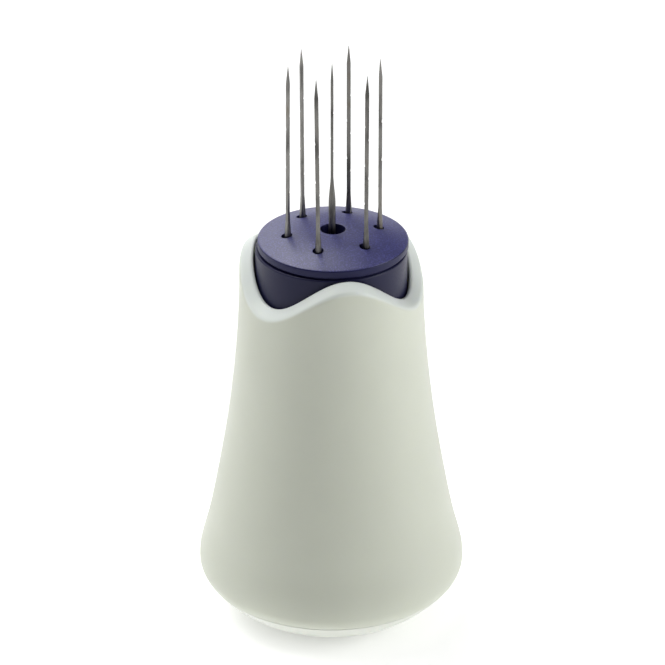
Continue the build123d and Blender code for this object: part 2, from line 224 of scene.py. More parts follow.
def spline(points, start, end, steps):
    """Smooth curve through (n, 2) points: cubic pieces over chord length whose slopes solve the equations
    of equal curvature at each inner point, with a given unit direction at each end."""
    points = np.array(points, float)
    gap = np.linalg.norm(np.diff(points, axis=0), axis=1)
    slope = np.diff(points, axis=0) / gap[:, None]
    count = len(points)
    system = np.eye(count)
    wanted = np.zeros_like(points)
    inner = np.arange(1, count - 1)
    system[inner, inner - 1] = gap[1:]
    system[inner, inner] = 2 * (gap[1:] + gap[:-1])
    system[inner, inner + 1] = gap[:-1]
    wanted[inner] = 3 * (gap[1:, None] * slope[:-1] + gap[:-1, None] * slope[1:])
    wanted[0] = np.array(start) / np.linalg.norm(start)
    wanted[-1] = np.array(end) / np.linalg.norm(end)
    tangent = np.linalg.solve(system, wanted)
    t = np.linspace(0, 1, steps, endpoint=False)[None, :, None]
    low, high = points[:-1, None], points[1:, None]
    low_out = tangent[:-1, None] * gap[:, None, None]
    high_in = tangent[1:, None] * gap[:, None, None]
    curve = ((2 * t**3 - 3 * t**2 + 1) * low + (t**3 - 2 * t**2 + t) * low_out
             + (3 * t**2 - 2 * t**3) * high + (t**3 - t**2) * high_in)
    return np.concatenate([curve.reshape(-1, 2), points[-1:]])


def rounded(corners, radii, steps=6):
    """Outline through corners, each replaced by an arc of its radius that touches both sides. The arc's
    points turn evenly from one touching point to the other round the arc's centre."""
    corners = np.array(corners, float)
    radii = np.array(radii, float)[:, None]
    back = np.roll(corners, 1, axis=0) - corners
    on = np.roll(corners, -1, axis=0) - corners
    back /= np.linalg.norm(back, axis=1, keepdims=True)
    on /= np.linalg.norm(on, axis=1, keepdims=True)
    half = np.arccos(np.clip((back * on).sum(1, keepdims=True), -1, 1)) / 2
    half = np.clip(half, 0.01, math.pi / 2 - 0.01)
    middle = back + on
    middle /= np.maximum(np.linalg.norm(middle, axis=1, keepdims=True), 1e-9)
    centre = corners + middle * radii / np.sin(half)
    first = corners + back * radii / np.tan(half) - centre
    last = corners + on * radii / np.tan(half) - centre
    sweep = (math.pi - 2 * half)[:, None]
    t = np.linspace(0, 1, steps + 1)[None, :, None]
    arc = (np.sin((1 - t) * sweep) * first[:, None] + np.sin(t * sweep) * last[:, None]) / np.sin(sweep)
    return (centre[:, None] + arc).reshape(-1, 2)


def flat_place(x, y, height):
    return np.stack([x, y, np.broadcast_to(height, x.shape)], axis=-1)


def round_axis(radius, azimuth, height):
    """Points round Z: x = r sin a, y = -r cos a, z = h."""
    return flat_place(radius * np.sin(azimuth), -radius * np.cos(azimuth), height)


def turned(outline, azimuth):
    """An outline of (radius, height) turned about Z."""
    return round_axis(outline[:, :1], azimuth, outline[:, 1:])


def full_turn(columns):
    return np.linspace(0, TURN, columns + 1)


def closed(outline):
    return np.concatenate([outline, outline[:1]])


def grid_quads(rows, columns):
    """Quads that join each point of a grid to its neighbours in the next row and column."""
    index = np.arange(rows * columns).reshape(rows, columns)
    corners = (index[:-1, :-1], index[:-1, 1:], index[1:, 1:], index[1:, :-1])
    return np.stack(corners, axis=-1).reshape(-1, 4)


def make_mesh(name, surfaces):
    """One mesh of grids of points. Shared edges and collapsed rows are merged, and faces turned outwards."""
    sizes = [grid.shape[0] * grid.shape[1] for grid in surfaces]
    starts = np.cumsum([0] + sizes[:-1])
    points = np.concatenate([grid.reshape(-1, 3) for grid in surfaces])
    quads = np.concatenate([grid_quads(*grid.shape[:2]) + start for grid, start in zip(surfaces, starts)])
    mesh = bpy.data.meshes.new(name)
    mesh.vertices.add(len(points))
    mesh.vertices.foreach_set("co", points.astype(np.float32).ravel())
    mesh.loops.add(quads.size)
    mesh.loops.foreach_set("vertex_index", quads.astype(np.int32).ravel())
    mesh.polygons.add(len(quads))
    mesh.polygons.foreach_set("loop_start", np.arange(0, quads.size, 4, dtype=np.int32))
    mesh.update(calc_edges=True)
    built = bmesh.new()
    built.from_mesh(mesh)
    bmesh.ops.remove_doubles(built, verts=built.verts[:], dist=MERGE)
    bmesh.ops.dissolve_degenerate(built, edges=built.edges[:], dist=MERGE / 10)
    bmesh.ops.recalc_face_normals(built, faces=built.faces[:])
    built.to_mesh(mesh)
    built.free()
    return mesh


def add_object(name, data):
    """A new object at the origin of the scene."""
    made = bpy.data.objects.new(name, data)
    bpy.context.scene.collection.objects.link(made)
    return made


def add_piece(name, surfaces, finish, body, slot, *nodes, sharp=30.0):
    """A visible piece at the origin that rides on a body and stands for CAD nodes."""
    mesh = make_mesh(name, surfaces)
    mesh.polygons.foreach_set("use_smooth", np.ones(len(mesh.polygons), bool))
    mesh.set_sharp_from_angle(angle=math.radians(sharp))
    mesh.materials.append(finish)
    piece = add_object(name, mesh)
    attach(piece, body)
    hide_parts(*nodes)
    return piece


# Finishes

NOISE_REACH = (0.3, 0.7)    # where noise mostly lies
CLOUDS = 90.0               # cells a metre of the slow change of tone in plastic
COARSER = 5                 # cells of the coarse grain, of the fine grain's
ROUGHNESS_PLAY = 0.05       # how far the grain moves the roughness
PLASTIC_IOR = 1.49
NAVY_GRAIN = 2600.0         # cells a metre
GLINT_TONE = 1.9            # the lid's painted glints, of its colour
STRAW = (0.92, 0.84, 0.74)  # stains on steel, of its colour
ZINC = ((0.50, 0.50, 0.49), (0.66, 0.65, 0.62))


def feed(node, socket, value):
    """Links a value to a node's socket."""
    node.id_data.links.new(value, node.inputs[socket])


def new_finish(name):
    """A material with its shader, its object coordinates and a short way to add nodes."""
    finish = bpy.data.materials.get(name) or bpy.data.materials.new(name)
    finish.use_nodes = True
    tree = finish.node_tree
    tree.nodes.clear()
    output = tree.nodes.new("ShaderNodeOutputMaterial")
    shader = tree.nodes.new("ShaderNodeBsdfPrincipled")
    feed(output, "Surface", shader.outputs["BSDF"])
    coordinates = tree.nodes.new("ShaderNodeTexCoord")
    return finish, tree, shader, coordinates.outputs["Object"]


def noise(tree, place, scale, detail=2.0, stretch=None):
    """Noise on object coordinates, its cells 1/scale metres long, stretched by a factor on each axis."""
    if stretch:
        mapping = tree.nodes.new("ShaderNodeMapping")
        mapping.inputs["Scale"].default_value = stretch
        feed(mapping, "Vector", place)
        place = mapping.outputs["Vector"]
    texture = tree.nodes.new("ShaderNodeTexNoise")
    texture.inputs["Scale"].default_value = scale
    texture.inputs["Detail"].default_value = detail
    feed(texture, "Vector", place)
    return texture.outputs["Fac"]


def ramp(tree, value, stops):
    """Colours between stops of (place, colour)."""
    node = tree.nodes.new("ShaderNodeValToRGB")
    elements = node.color_ramp.elements
    while len(elements) < len(stops):
        elements.new(0.5)
    for element, (place, colour) in zip(elements, stops):
        element.position = place
        element.color = (*colour, 1.0)
    feed(node, "Fac", value)
    return node.outputs["Color"]


def tones(tree, value, low, high):
    """Colours from low to high over the reach of noise."""
    return ramp(tree, value, list(zip(NOISE_REACH, (low, high))))


def spread(tree, value, low, high):
    """A value moved from the reach of noise to low to high."""
    node = tree.nodes.new("ShaderNodeMapRange")
    for name, limit in zip(("From Min", "From Max", "To Min", "To Max"), (*NOISE_REACH, low, high)):
        node.inputs[name].default_value = limit
    feed(node, "Value", value)
    return node.outputs["Result"]


def attribute(tree, name):
    node = tree.nodes.new("ShaderNodeAttribute")
    node.attribute_name = name
    return node.outputs["Fac"]


def mixed(tree, factor, first, second):
    """Mix of two colours, each a socket or a plain colour."""
    node = tree.nodes.new("ShaderNodeMix")
    node.data_type = "RGBA"
    feed(node, "Factor", factor)
    for letter, colour in (("A", first), ("B", second)):
        if isinstance(colour, bpy.types.NodeSocket):
            feed(node, letter, colour)
        else:
            node.inputs[letter].default_value = (*colour, 1.0)
    return node.outputs["Result"]


def bump(tree, shader, layers):
    """Relief of several height layers, each with its depth in metres and its strength."""
    normal = None
    for height, depth, strength in layers:
        node = tree.nodes.new("ShaderNodeBump")
        node.inputs["Strength"].default_value = strength
        node.inputs["Distance"].default_value = depth
        feed(node, "Height", height)
        if normal:
            feed(node, "Normal", normal)
        normal = node.outputs["Normal"]
    feed(shader, "Normal", normal)


def shade(colour, factor):
    return tuple(channel * factor for channel in colour)


def satin_plastic(name, colour, roughness, grain, unevenness, depth):
    """Moulded plastic: fine spark-eroded grain in relief and roughness, and a slow change of tone."""
    finish, tree, shader, place = new_finish(name)
    slow = noise(tree, place, CLOUDS, detail=3.0)
    tone = tones(tree, slow, shade(colour, 1 - unevenness), shade(colour, 1 + unevenness))
    feed(shader, "Base Color", tone)
    fine = noise(tree, place, grain, detail=3.0)
    gloss = spread(tree, fine, roughness - ROUGHNESS_PLAY, roughness + ROUGHNESS_PLAY)
    feed(shader, "Roughness", gloss)
    coarse = noise(tree, place, grain / COARSER)
    bump(tree, shader, [(coarse, depth * 2, 0.3), (fine, depth, 0.6)])
    shader.inputs["IOR"].default_value = PLASTIC_IOR
    return finish, tree, shader, place


def white_plastic(name, looks, colour, roughness):
    """The handle's satin white, which a little light passes into. Its thin rim is painted lighter and cooler,
    a painted glow of the light that passes through it and falls on its top.
    """
    finish, tree, shader, _ = satin_plastic(
        name, colour, roughness, grain=4200.0, unevenness=0.012, depth=0.004 * MM)
    slow = shader.inputs["Base Color"].links[0].from_socket
    # Painted glow: near the rim's top the colour is mixed towards the lighter rim colour
    painted_glow = mixed(tree, attribute(tree, "rim_painted_glow"), slow, looks.rim)
    feed(shader, "Base Color", painted_glow)
    shader.inputs["Subsurface Weight"].default_value = 0.25
    shader.inputs["Subsurface Radius"].default_value = (1.0, 1.0, 0.8)
    shader.inputs["Subsurface Scale"].default_value = 1.6 * MM
    return finish


def lid_plastic(looks):
    """The lid's navy top: coarser grain, with fine bright specks of painted glints spread over it."""
    finish, tree, shader, place = satin_plastic(
        "lid_navy_finish", looks.lid_navy, roughness=0.44, grain=NAVY_GRAIN, unevenness=0.08, depth=0.02 * MM)
    grained = shader.inputs["Base Color"].links[0].from_socket
    # Painted glints: fine noise lifts specks of the top's colour towards a lighter navy
    glint_noise = spread(tree, noise(tree, place, 3600.0, detail=1.0), -0.9, 1.0)
    painted_glints = mixed(tree, glint_noise, grained, shade(looks.lid_navy, GLINT_TONE))
    feed(shader, "Base Color", painted_glints)
    shader.inputs["Specular IOR Level"].default_value = 0.9
    return finish


def smooth_navy(name, looks, roughness, tone=1.0):
    """Smooth dark moulded plastic of the drum, the lid's side and the parts inside. On the lid's side, hole
    walls and underside, its darker tone is painted shade.
    """
    finish, _, shader, _ = satin_plastic(
        name, shade(looks.drum_navy, tone), roughness, grain=NAVY_GRAIN, unevenness=0.03, depth=0.0004 * MM)
    shader.inputs["Specular IOR Level"].default_value = 0.24
    return finish


def needle_steel(name, looks, factor=1.0):
    """Drawn steel wire: streaks along the wire in roughness and relief, slow grey and straw stains."""
    finish, tree, shader, place = new_finish(name)
    shader.inputs["Metallic"].default_value = 1.0
    steel = shade(looks.steel, factor)
    stain = noise(tree, place, 520.0, detail=4.0, stretch=(1.0, 1.0, 0.35))
    straw = tuple(channel * share for channel, share in zip(steel, STRAW))
    stops = [(0.34, shade(steel, 0.55)), (0.46, steel), (0.56, shade(steel, 1.18)), (0.7, straw)]
    feed(shader, "Base Color", ramp(tree, stain, stops))
    streak = noise(tree, place, 5200.0, detail=3.0, stretch=(1.0, 1.0, 0.06))
    feed(shader, "Roughness", spread(tree, streak, 0.24, 0.42))
    pit = noise(tree, place, 3000.0)
    bump(tree, shader, [(streak, 0.01 * MM, 0.25), (pit, 0.006 * MM, 0.25)])
    return finish


def screw_steel():
    """Zinc-plated screws, seen only with the cartridge out."""
    finish, tree, shader, place = new_finish("screw_steel_finish")
    shader.inputs["Metallic"].default_value = 1.0
    cloud = noise(tree, place, 700.0, detail=3.0)
    feed(shader, "Base Color", tones(tree, cloud, *ZINC))
    feed(shader, "Roughness", spread(tree, noise(tree, place, 3000.0), 0.25, 0.4))
    return finish


def rubber(name, looks, roughness):
    """Matt black rubber with a fine bloom."""
    return satin_plastic(name, looks.rubber, roughness, grain=3000.0, unevenness=0.25, depth=0.01 * MM)[0]


def dress_nodes(finish, *nodes):
    """Gives CAD nodes that keep their own shape a finish."""
    for node in nodes:
        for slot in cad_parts[node].material_slots:
            slot.material = finish


# Handle

# Places on the bell's side, in shares of its rise and of its flare
FLARE_SHARES = (
    (0.092, 0.851), (0.231, 0.606), (0.4, 0.3625), (0.585, 0.1645), (0.769, 0.0445), (0.892, 0.014))
CURL_SHARE = 0.93           # of the curl in to the joint, before the bell steps in
CURL_STEP = 0.2 * MM        # that step, up to the mouth
CLIMB_POWER = 0.9           # sets the rows a little closer near the rim
BEVEL_SHOULDER = 0.88       # where the bevel meets the rim's top, of its way across
BEVEL_ROUNDS = (0, 0.6, 0.25, 0)  # of its corners
FADE_SHARE = 0.35           # of the painted rim glow's height that it fades in over


def bell_curve(sizes):
    """Heights and radii of the bell's side, a spline through shares of its rise and flare."""
    top = sizes.rim_height + 2 * sizes.rim_wave
    rise = top - sizes.widest_height
    flare = sizes.base_radius - sizes.neck_radius
    points = [(sizes.base_radius, sizes.widest_height)]
    points += [(sizes.neck_radius + out * flare, sizes.widest_height + up * rise) for up, out in FLARE_SHARES]
    points.append((sizes.neck_radius, top))
    last = np.subtract(points[-1], points[-2])
    curve = spline(points, (0, 1), last, 40)
    return curve[:, 1], curve[:, 0]


def shell_surface(sizes):
    """One closed loop of (radius, height) at each azimuth a. It climbs the bell's side, goes over the rim and
    down the bore. The rim's height is middle + wave cos 3(a - turn). Its bevel is laid over the bell's side
    with a rounded lower corner, and it reaches further down where the wave is steep."""
    heights, radii = bell_curve(sizes)
    azimuth = full_turn(COLUMNS)[None, :]
    phase = LOBES * (azimuth - sizes.rim_turn)
    rim = sizes.rim_height + sizes.rim_wave * np.cos(phase)
    slope = LOBES * sizes.rim_wave * np.sin(phase) / sizes.neck_radius
    drop = sizes.rim_drop * np.sqrt(1 + slope**2)
    inner_round = sizes.rim_inner_round
    low = SHELL_LOW.z

    def side(height):
        return np.interp(height, heights, radii)

    def rows(radius, height):
        shape = np.broadcast_shapes(np.shape(radius), np.shape(height), azimuth.shape)
        return np.stack([np.broadcast_to(radius, shape), np.broadcast_to(height, shape)], axis=-1)

    curl_drop = sizes.widest_height - low
    curl_radius = (curl_drop**2 + sizes.joint_inset**2) / (2 * sizes.joint_inset)
    curl_end = math.asin(curl_drop / curl_radius)
    curl = np.linspace(-CURL_SHARE * curl_end, 0, 9)[:, None]
    curl_r = sizes.base_radius - curl_radius * (1 - np.cos(curl))
    curl_z = sizes.widest_height + curl_radius * np.sin(curl)
    climb = np.linspace(0, 1, 91)[1:, None] ** CLIMB_POWER
    climb_z = sizes.widest_height + climb * (rim - drop - sizes.widest_height)
    bevel = rounded([(0, 0), (0, sizes.bevel_foot), (BEVEL_SHOULDER, 1), (1, 1)], BEVEL_ROUNDS, 9)
    bevel_z = rim - drop * (1 - bevel[:, 1:])
    across = side(rim) - sizes.bore_radius - inner_round
    bevel_r = side(bevel_z) - across * bevel[:, :1]
    inward = np.linspace(0, math.pi / 2, 7)[:, None]
    lip_r = sizes.bore_radius + inner_round * (1 - np.sin(inward))
    lip_z = rim - inner_round * (1 - np.cos(inward))
    down = np.linspace(0, 1, 13)[1:, None]
    bore_z = lip_z[-1:] + down * (SLEEVE_TOP - lip_z[-1:])
    inside_z = np.linspace(SLEEVE_TOP, low + sizes.lip_height, 31)[:, None]
    inside_r = np.maximum(side(inside_z) - sizes.wall, sizes.pocket_radius)
    mouth_z = np.array([[low + sizes.lip_height], [low]])
    loop = np.concatenate([
        rows(curl_r, curl_z), rows(side(climb_z), climb_z), rows(bevel_r, bevel_z), rows(lip_r, lip_z),
        rows(sizes.bore_radius, bore_z), rows(inside_r, inside_z), rows(sizes.lip_radius, mouth_z),
        rows(curl_r[0] - CURL_STEP, low), rows(curl_r[:1], curl_z[:1])])
    return round_axis(loop[..., 0], azimuth, loop[..., 1])


def mark_rim_painted_glow(mesh, sizes):
    """Stores an attribute that rises smoothly from 0 to 1 where the rim's painted glow begins."""
    place = np.empty(len(mesh.vertices) * 3, np.float32)
    mesh.vertices.foreach_get("co", place)
    x, y, z = place.reshape(-1, 3).T
    rim = sizes.rim_height + sizes.rim_wave * np.cos(LOBES * (np.arctan2(x, -y) - sizes.rim_turn))
    share = np.clip((z - rim + sizes.rim_painted_glow) / (FADE_SHARE * sizes.rim_painted_glow), 0, 1)
    thin = mesh.attributes.new("rim_painted_glow", "FLOAT", "POINT")
    thin.data.foreach_set("value", smooth(share).astype(np.float32))


class FELTING_OT_handle(Operator):
    """Makes the white bell with its wavy rim, and finishes the base cap and the sleeve inside"""

    bl_idname = "felting.handle"
    bl_label = "Handle"

    def execute(self, context):
        looks = context.scene.felting_looks
        white = white_plastic("handle_white_finish", looks, looks.white, 0.42)
        sizes = context.scene.felting_handle
        surfaces = [shell_surface(sizes)]
        shell = add_piece("bell_shell", surfaces, white, "handle", "handle_white", "handle_shell")
        mark_rim_painted_glow(shell.data, sizes)
        # The base cap's paler colour is partly painted floor light on its underside
        dress_nodes(white_plastic("base_white_finish", looks, looks.pale, 0.40), "base_cap")
        dress_nodes(white_plastic("sleeve_white_finish", looks, looks.white, 0.5), "socket_sleeve")
        dress_nodes(screw_steel(), "sleeve_screws")
        return {"FINISHED"}


# Cartridge

LID_SHOULDER = (0.62, 0.76)  # of the lid's radius and of its dome's rise
HOLE_RINGS = (5.2 * MM, 11.0 * MM)  # the top's grid goes round the outer holes between these radii
UNDER_RING = 9.45 * MM      # outer ring of the grid at the plate's underside
EDGE_START = 0.45 * MM      # where the side's outline takes over from the grid, in from the side
CRISP_ROUND = 0.05 * MM
SMALL_ROUND = 0.15 * MM
SPIGOT_LAP = 0.3 * MM       # how far the lid's ring goes into the lid
BEAD = 0.2 * MM


def crown_height(sizes):
    """Height of the lid's dome over its radius, a spline from the middle over a shoulder to the edge."""
    edge = (sizes.radius, sizes.top - sizes.dome)
    shoulder = (LID_SHOULDER[0] * sizes.radius, edge[1] + LID_SHOULDER[1] * sizes.dome)
    curve = spline([(0, sizes.top), shoulder, edge], (1, 0), np.subtract(edge, shoulder), 60)
    return lambda radius: np.interp(radius, curve[:, 0], curve[:, 1])


def pierced_disc(height, holes, middle, edge, inner, outer, hole_radius):
    """Disc from the middle hole to an edge, with a hole in the middle of each sector. Plain rings lie inside
    and outside. Between them each sector is a grid from its hole's circle, v = 0, straight to its
    boundary, v = 1, so that neighbours share their boundary points."""
    azimuth = full_turn(OUTER_NEEDLES * SIDE)

    def ring(low, high, rows):
        radius = np.linspace(low, high, rows)[:, None]
        return round_axis(radius, azimuth, height(radius))

    even = np.linspace(0, 1, SIDE + 1)[:-1]
    turn = SECTOR * np.concatenate([even, np.ones(SIDE), 1 - even, np.zeros(SIDE), [0]])
    reach = inner + (outer - inner) * np.concatenate([np.zeros(SIDE), even, np.ones(SIDE), 1 - even, [0]])
    turn = turn + SECTOR * np.arange(OUTER_NEEDLES)[:, None, None]
    bound = np.stack([reach * np.sin(turn), -reach * np.cos(turn)], axis=-1)
    centre = holes[:, None, None]
    out = bound - centre
    out /= np.linalg.norm(out, axis=-1, keepdims=True)
    share = (np.linspace(0, 1, 13) ** 1.5)[None, :, None, None]
    place = (centre + hole_radius * out) * (1 - share) + bound * share
    radius = np.linalg.norm(place, axis=-1)
    sectors = flat_place(place[..., 0], place[..., 1], height(radius))
    return [ring(middle, inner, 7), ring(outer, edge, 9), *sectors], out


def lid_surfaces(sizes, needles):
    """The dome and the plate's underside are pierced discs. Each hole's upper edge is a quarter round. The
    side, the groove and the foot are an outline turned about Z."""
    height = crown_height(sizes)
    middle_azimuth = SECTOR * (np.arange(OUTER_NEEDLES) + 0.5)
    holes = needles.circle_radius * np.stack([np.sin(middle_azimuth), -np.cos(middle_azimuth)], axis=-1)
    soft = sizes.hole_round
    under = sizes.top - sizes.plate
    inner, outer = HOLE_RINGS
    spigot_bore = sizes.spigot_radius - sizes.spigot_wall
    rim_start = sizes.radius - EDGE_START
    top, out = pierced_disc(
        height, holes, sizes.middle_hole_radius + soft, rim_start, inner, outer, sizes.hole_radius + soft)
    bottom, _ = pierced_disc(
        lambda radius: np.full_like(radius, under), holes, sizes.middle_hole_radius, spigot_bore,
        inner, UNDER_RING, sizes.hole_radius)

    turn = np.concatenate([np.linspace(0, math.pi / 2, 7), [math.pi / 2] * 4])
    fall = np.concatenate([np.zeros(7), np.linspace(0, 1, 5)[1:]])
    widen = soft * (1 - np.sin(turn))
    sink = soft * (1 - np.cos(turn))
    place = holes[:, None, None] + out * (sizes.hole_radius + widen)[None, :, None, None]
    crown = height(np.linalg.norm(place, axis=-1)) - sink[None, :, None]
    wall = crown * (1 - fall)[None, :, None] + under * fall[None, :, None]
    hole_walls = flat_place(place[..., 0], place[..., 1], wall)
    radius = sizes.middle_hole_radius + widen
    middle_wall = np.stack([radius, (height(radius) - sink) * (1 - fall) + under * fall], axis=-1)

    edge_z = sizes.top - sizes.dome
    side_z = edge_z - sizes.side
    foot_z = side_z - sizes.groove
    outline = rounded(
        [(rim_start, height(rim_start)), (sizes.radius, edge_z), (sizes.radius, side_z),
         (sizes.radius - sizes.groove, side_z), (sizes.radius - sizes.groove, foot_z),
         (spigot_bore, foot_z), (spigot_bore, under)],
        [0, sizes.edge_round, SMALL_ROUND, CRISP_ROUND, CRISP_ROUND, 2 * CRISP_ROUND, 0])
    azimuth = full_turn(OUTER_NEEDLES * SIDE)
    return [*top, *bottom, *hole_walls, turned(middle_wall, azimuth), turned(outline, azimuth)]


def spigot_surface(sizes):
    """Ring below the lid with a snap bead outside: a closed outline turned about Z from one side of the
    notch to the other, and drawn in to the outline's middle at both ends."""
    low, high = LID_LOW.z, sizes.top - sizes.dome - sizes.side - sizes.groove + SPIGOT_LAP
    radius, bore = sizes.spigot_radius, sizes.spigot_radius - sizes.spigot_wall
    bead_z = (low + high - SPIGOT_LAP) / 2
    outline = closed(rounded(
        [(radius, high), (radius, bead_z + 1.5 * BEAD), (radius + BEAD, bead_z),
         (radius, bead_z - 1.5 * BEAD), (radius, low), (bore, low), (bore, high)],
        [0, BEAD, BEAD, BEAD, SMALL_ROUND, SMALL_ROUND, 0]))
    half = sizes.notch / (2 * sizes.spigot_radius)
    azimuth = np.linspace(half, TURN - half, OUTER_NEEDLES * SIDE)
    ring = turned(outline, azimuth)
    heart = np.broadcast_to(ring[:-1].mean(axis=0), ring.shape)
    return np.concatenate([heart[:, :1], ring, heart[:, -1:]], axis=1)


class FELTING_OT_lid(Operator):
    """Makes the domed navy lid with its seven holes"""

    bl_idname = "felting.lid"
    bl_label = "Lid"

    def execute(self, context):
        scene = context.scene
        needles = scene.felting_needles
        surfaces = lid_surfaces(scene.felting_lid, needles)
        surfaces.append(spigot_surface(scene.felting_lid))
        side = np.array([math.sin(needles.play_azimuth), -math.cos(needles.play_azimuth), 0])
        surfaces = [surface + needles.play * side for surface in surfaces]
        finish = lid_plastic(scene.felting_looks)
        lid = add_piece("needle_lid", surfaces, finish, "lid", "lid_navy", "cartridge_lid").data
        # Painted shade: faces that rise less than the limit (the lid's side, hole walls and underside) get a
        # darker navy than its top
        lid.materials.append(smooth_navy("lid_side_painted_shade_finish", scene.felting_looks, 0.40, 1.4))
        normals = np.empty(len(lid.polygons) * 3, np.float32)
        lid.polygons.foreach_get("normal", normals)
        lid.polygons.foreach_set("material_index", (normals[2::3] < SHADED_SIDE_LIMIT).astype(np.int32))
        return {"FINISHED"}


class FELTING_OT_drum(Operator):
    """Finishes the drum, its friction ring and the needle carrier inside it"""

    bl_idname = "felting.drum"
    bl_label = "Drum"

    def execute(self, context):
        looks = context.scene.felting_looks
        dress_nodes(smooth_navy("drum_navy_finish", looks, 0.36), "cartridge_drum")
        dress_nodes(smooth_navy("carrier_navy_finish", looks, 0.42), "needle_carrier")
        dress_nodes(rubber("ring_rubber_finish", looks, 0.55), "friction_ring")
        dress_nodes(rubber("pad_rubber_finish", looks, 0.7), "clamp_pad")
        return {"FINISHED"}


THREAD_END = 0.25 * MM      # plain edge above and below the thread's rows
THREAD_FADE = 0.9 * MM      # over which the thread runs out
CREST_FLATNESS = 1.5        # over 1 it cuts the thread's crests and roots flat
STUD_ROUND = 0.2 * MM
CEILING_ROUND = 0.4 * MM
BAR_ROUND = 0.5 * MM
BAR_LAP = 0.3 * MM          # how far the finger bar goes into the plug's top


def plug_surfaces(sizes):
    """Cup turned about Z whose outer wall carries a right-handed thread: at azimuth a and height z the wall
    is cut by depth x wave(starts (z / lead - a / turn)), where wave is a cosine with flattened crests."""
    radius, low, top = PLUG_HIGH.x, PLUG_LOW.z, PLUG_HIGH.z - sizes.stud_height
    azimuth = full_turn(240)
    z = np.linspace(low + THREAD_END, top - THREAD_END, 61)[:, None]
    wave = 0.5 - 0.5 * np.cos(TURN * sizes.starts * (z / sizes.lead - azimuth / TURN))
    wave = np.clip(0.5 + CREST_FLATNESS * (wave - 0.5), 0, 1)
    fade = np.clip(np.minimum(z - low, top - z) / THREAD_FADE, 0, 1)
    cut = radius - sizes.thread_depth * (1 - fade * (1 - wave))
    thread = round_axis(cut, azimuth, z)
    root = radius - sizes.thread_depth
    upper = rounded(
        [(0, PLUG_HIGH.z), (sizes.stud_radius, PLUG_HIGH.z), (sizes.stud_radius, top), (root, top),
         (root, z[-1, 0])],
        [0, STUD_ROUND, SMALL_ROUND, SMALL_ROUND, 0])
    bore = radius - sizes.wall
    ceiling = top - sizes.top
    lower = rounded(
        [(root, z[0, 0]), (root, low), (bore, low), (bore, ceiling), (0, ceiling)],
        [0, SMALL_ROUND, STUD_ROUND, CEILING_ROUND, 0])
    half = sizes.bar_width / 2
    foot = low + sizes.bar_inset
    outline = closed(rounded(
        [(half, ceiling + BAR_LAP), (half, foot), (-half, foot), (-half, ceiling + BAR_LAP)],
        [0, BAR_ROUND, BAR_ROUND, 0]))
    reach = radius - sizes.wall / 2
    along = np.array([-reach, -reach, *np.linspace(-reach, reach, 13), reach, reach])
    shrink = np.ones_like(along)
    shrink[[0, -1]] = 0
    heart = outline[:-1].mean(axis=0)
    side = heart + (outline[:, None] - heart) * shrink[None, :, None]
    bar = np.stack([np.broadcast_to(along, side.shape[:2]), side[..., 0], side[..., 1]], axis=-1)
    return [thread, turned(upper, azimuth), turned(lower, azimuth), bar]


class FELTING_OT_plug(Operator):
    """Makes the threaded clamp plug with its finger bar"""

    bl_idname = "felting.plug"
    bl_label = "Clamp plug"

    def execute(self, context):
        finish = smooth_navy("plug_navy_finish", context.scene.felting_looks, 0.36)
        surfaces = plug_surfaces(context.scene.felting_plug)
        add_piece("threaded_plug", surfaces, finish, "clamp_plug", "plug_navy", "clamp_plug")
        return {"FINISHED"}


# Needles

# Name, CAD node, azimuth in degrees, how far the needle stands aside in its hole and how far its point leans
# beyond that, both to the photo's right in millimetres, and the blade's twist in steps of 7.5 degrees
OUTER_SET = (
    ("needle_front_right", "outer_needle_1", 30, 0.19, 0.09, 10),
    ("needle_right", "outer_needle_2", 90, 0.18, -0.18, 6),
    ("needle_back_right", "outer_needle_3", 150, 0.30, -0.12, 10),
    ("needle_back_left", "outer_needle_4", 210, 0.19, -0.13, 10),
    ("needle_left", "outer_needle_5", 270, 0.05, 0.38, 3),
    ("needle_front_left", "outer_needle_6", 330, 0.20, -0.49, 2),
)
OUTER_BLADE = (0.40 * MM, 27.2 * MM, 5.6 * MM)  # radius, length and taper below it
MIDDLE_BLADE = (0.28 * MM, 21.0 * MM, 4.8 * MM)
MIDDLE_ASIDE, MIDDLE_TWIST = -0.15, 6  # as in the list above
MIDDLE_SHADE_TONE = 0.9             # the middle needle's colour, of the others', darker as painted shade
SPOKES = 48                 # steps round a needle
NEEDLE_SHARP = 25.0         # degrees from which its edges look sharp
NECK_RUN = 2 * MM           # over which the shank narrows to the neck
SETTLE_RUN = 16 * MM        # over which a needle moves aside in the drum
LEAN_POWER = 1.3            # over 1 it leans later
POINT_SHARE, POINT_POWER = 0.05, 0.9  # radius of the very point, and how full it is above
LIFT, LIFT_REACH = 0.07, 0.3  # raised edge by a barb, of its radius and its length
LIFT_COSINE = 0.95          # of half the raised edge's angle


def blade_rows(sizes, blade_low):
    """Heights for the blade's rows: even ones, and eight across each barb's step and ramp."""
    even = np.linspace(blade_low, sizes.tip - sizes.point, 40)
    barb = sizes.tip - sizes.barb_first - sizes.barb_pitch * np.arange(sizes.barb_count)
    barb = barb[barb > blade_low + sizes.barb_length]
    steps = np.array([-0.35, -0.12, -0.01, 0.01, 0.25, 0.5, 0.75, 1.0]) * sizes.barb_length
    point = sizes.tip - sizes.point * np.array([1, 0.85, 0.7, 0.55, 0.4, 0.25, 0.12, 0])
    return barb, np.unique(np.concatenate([even, (barb[:, None] + steps).ravel(), point]))


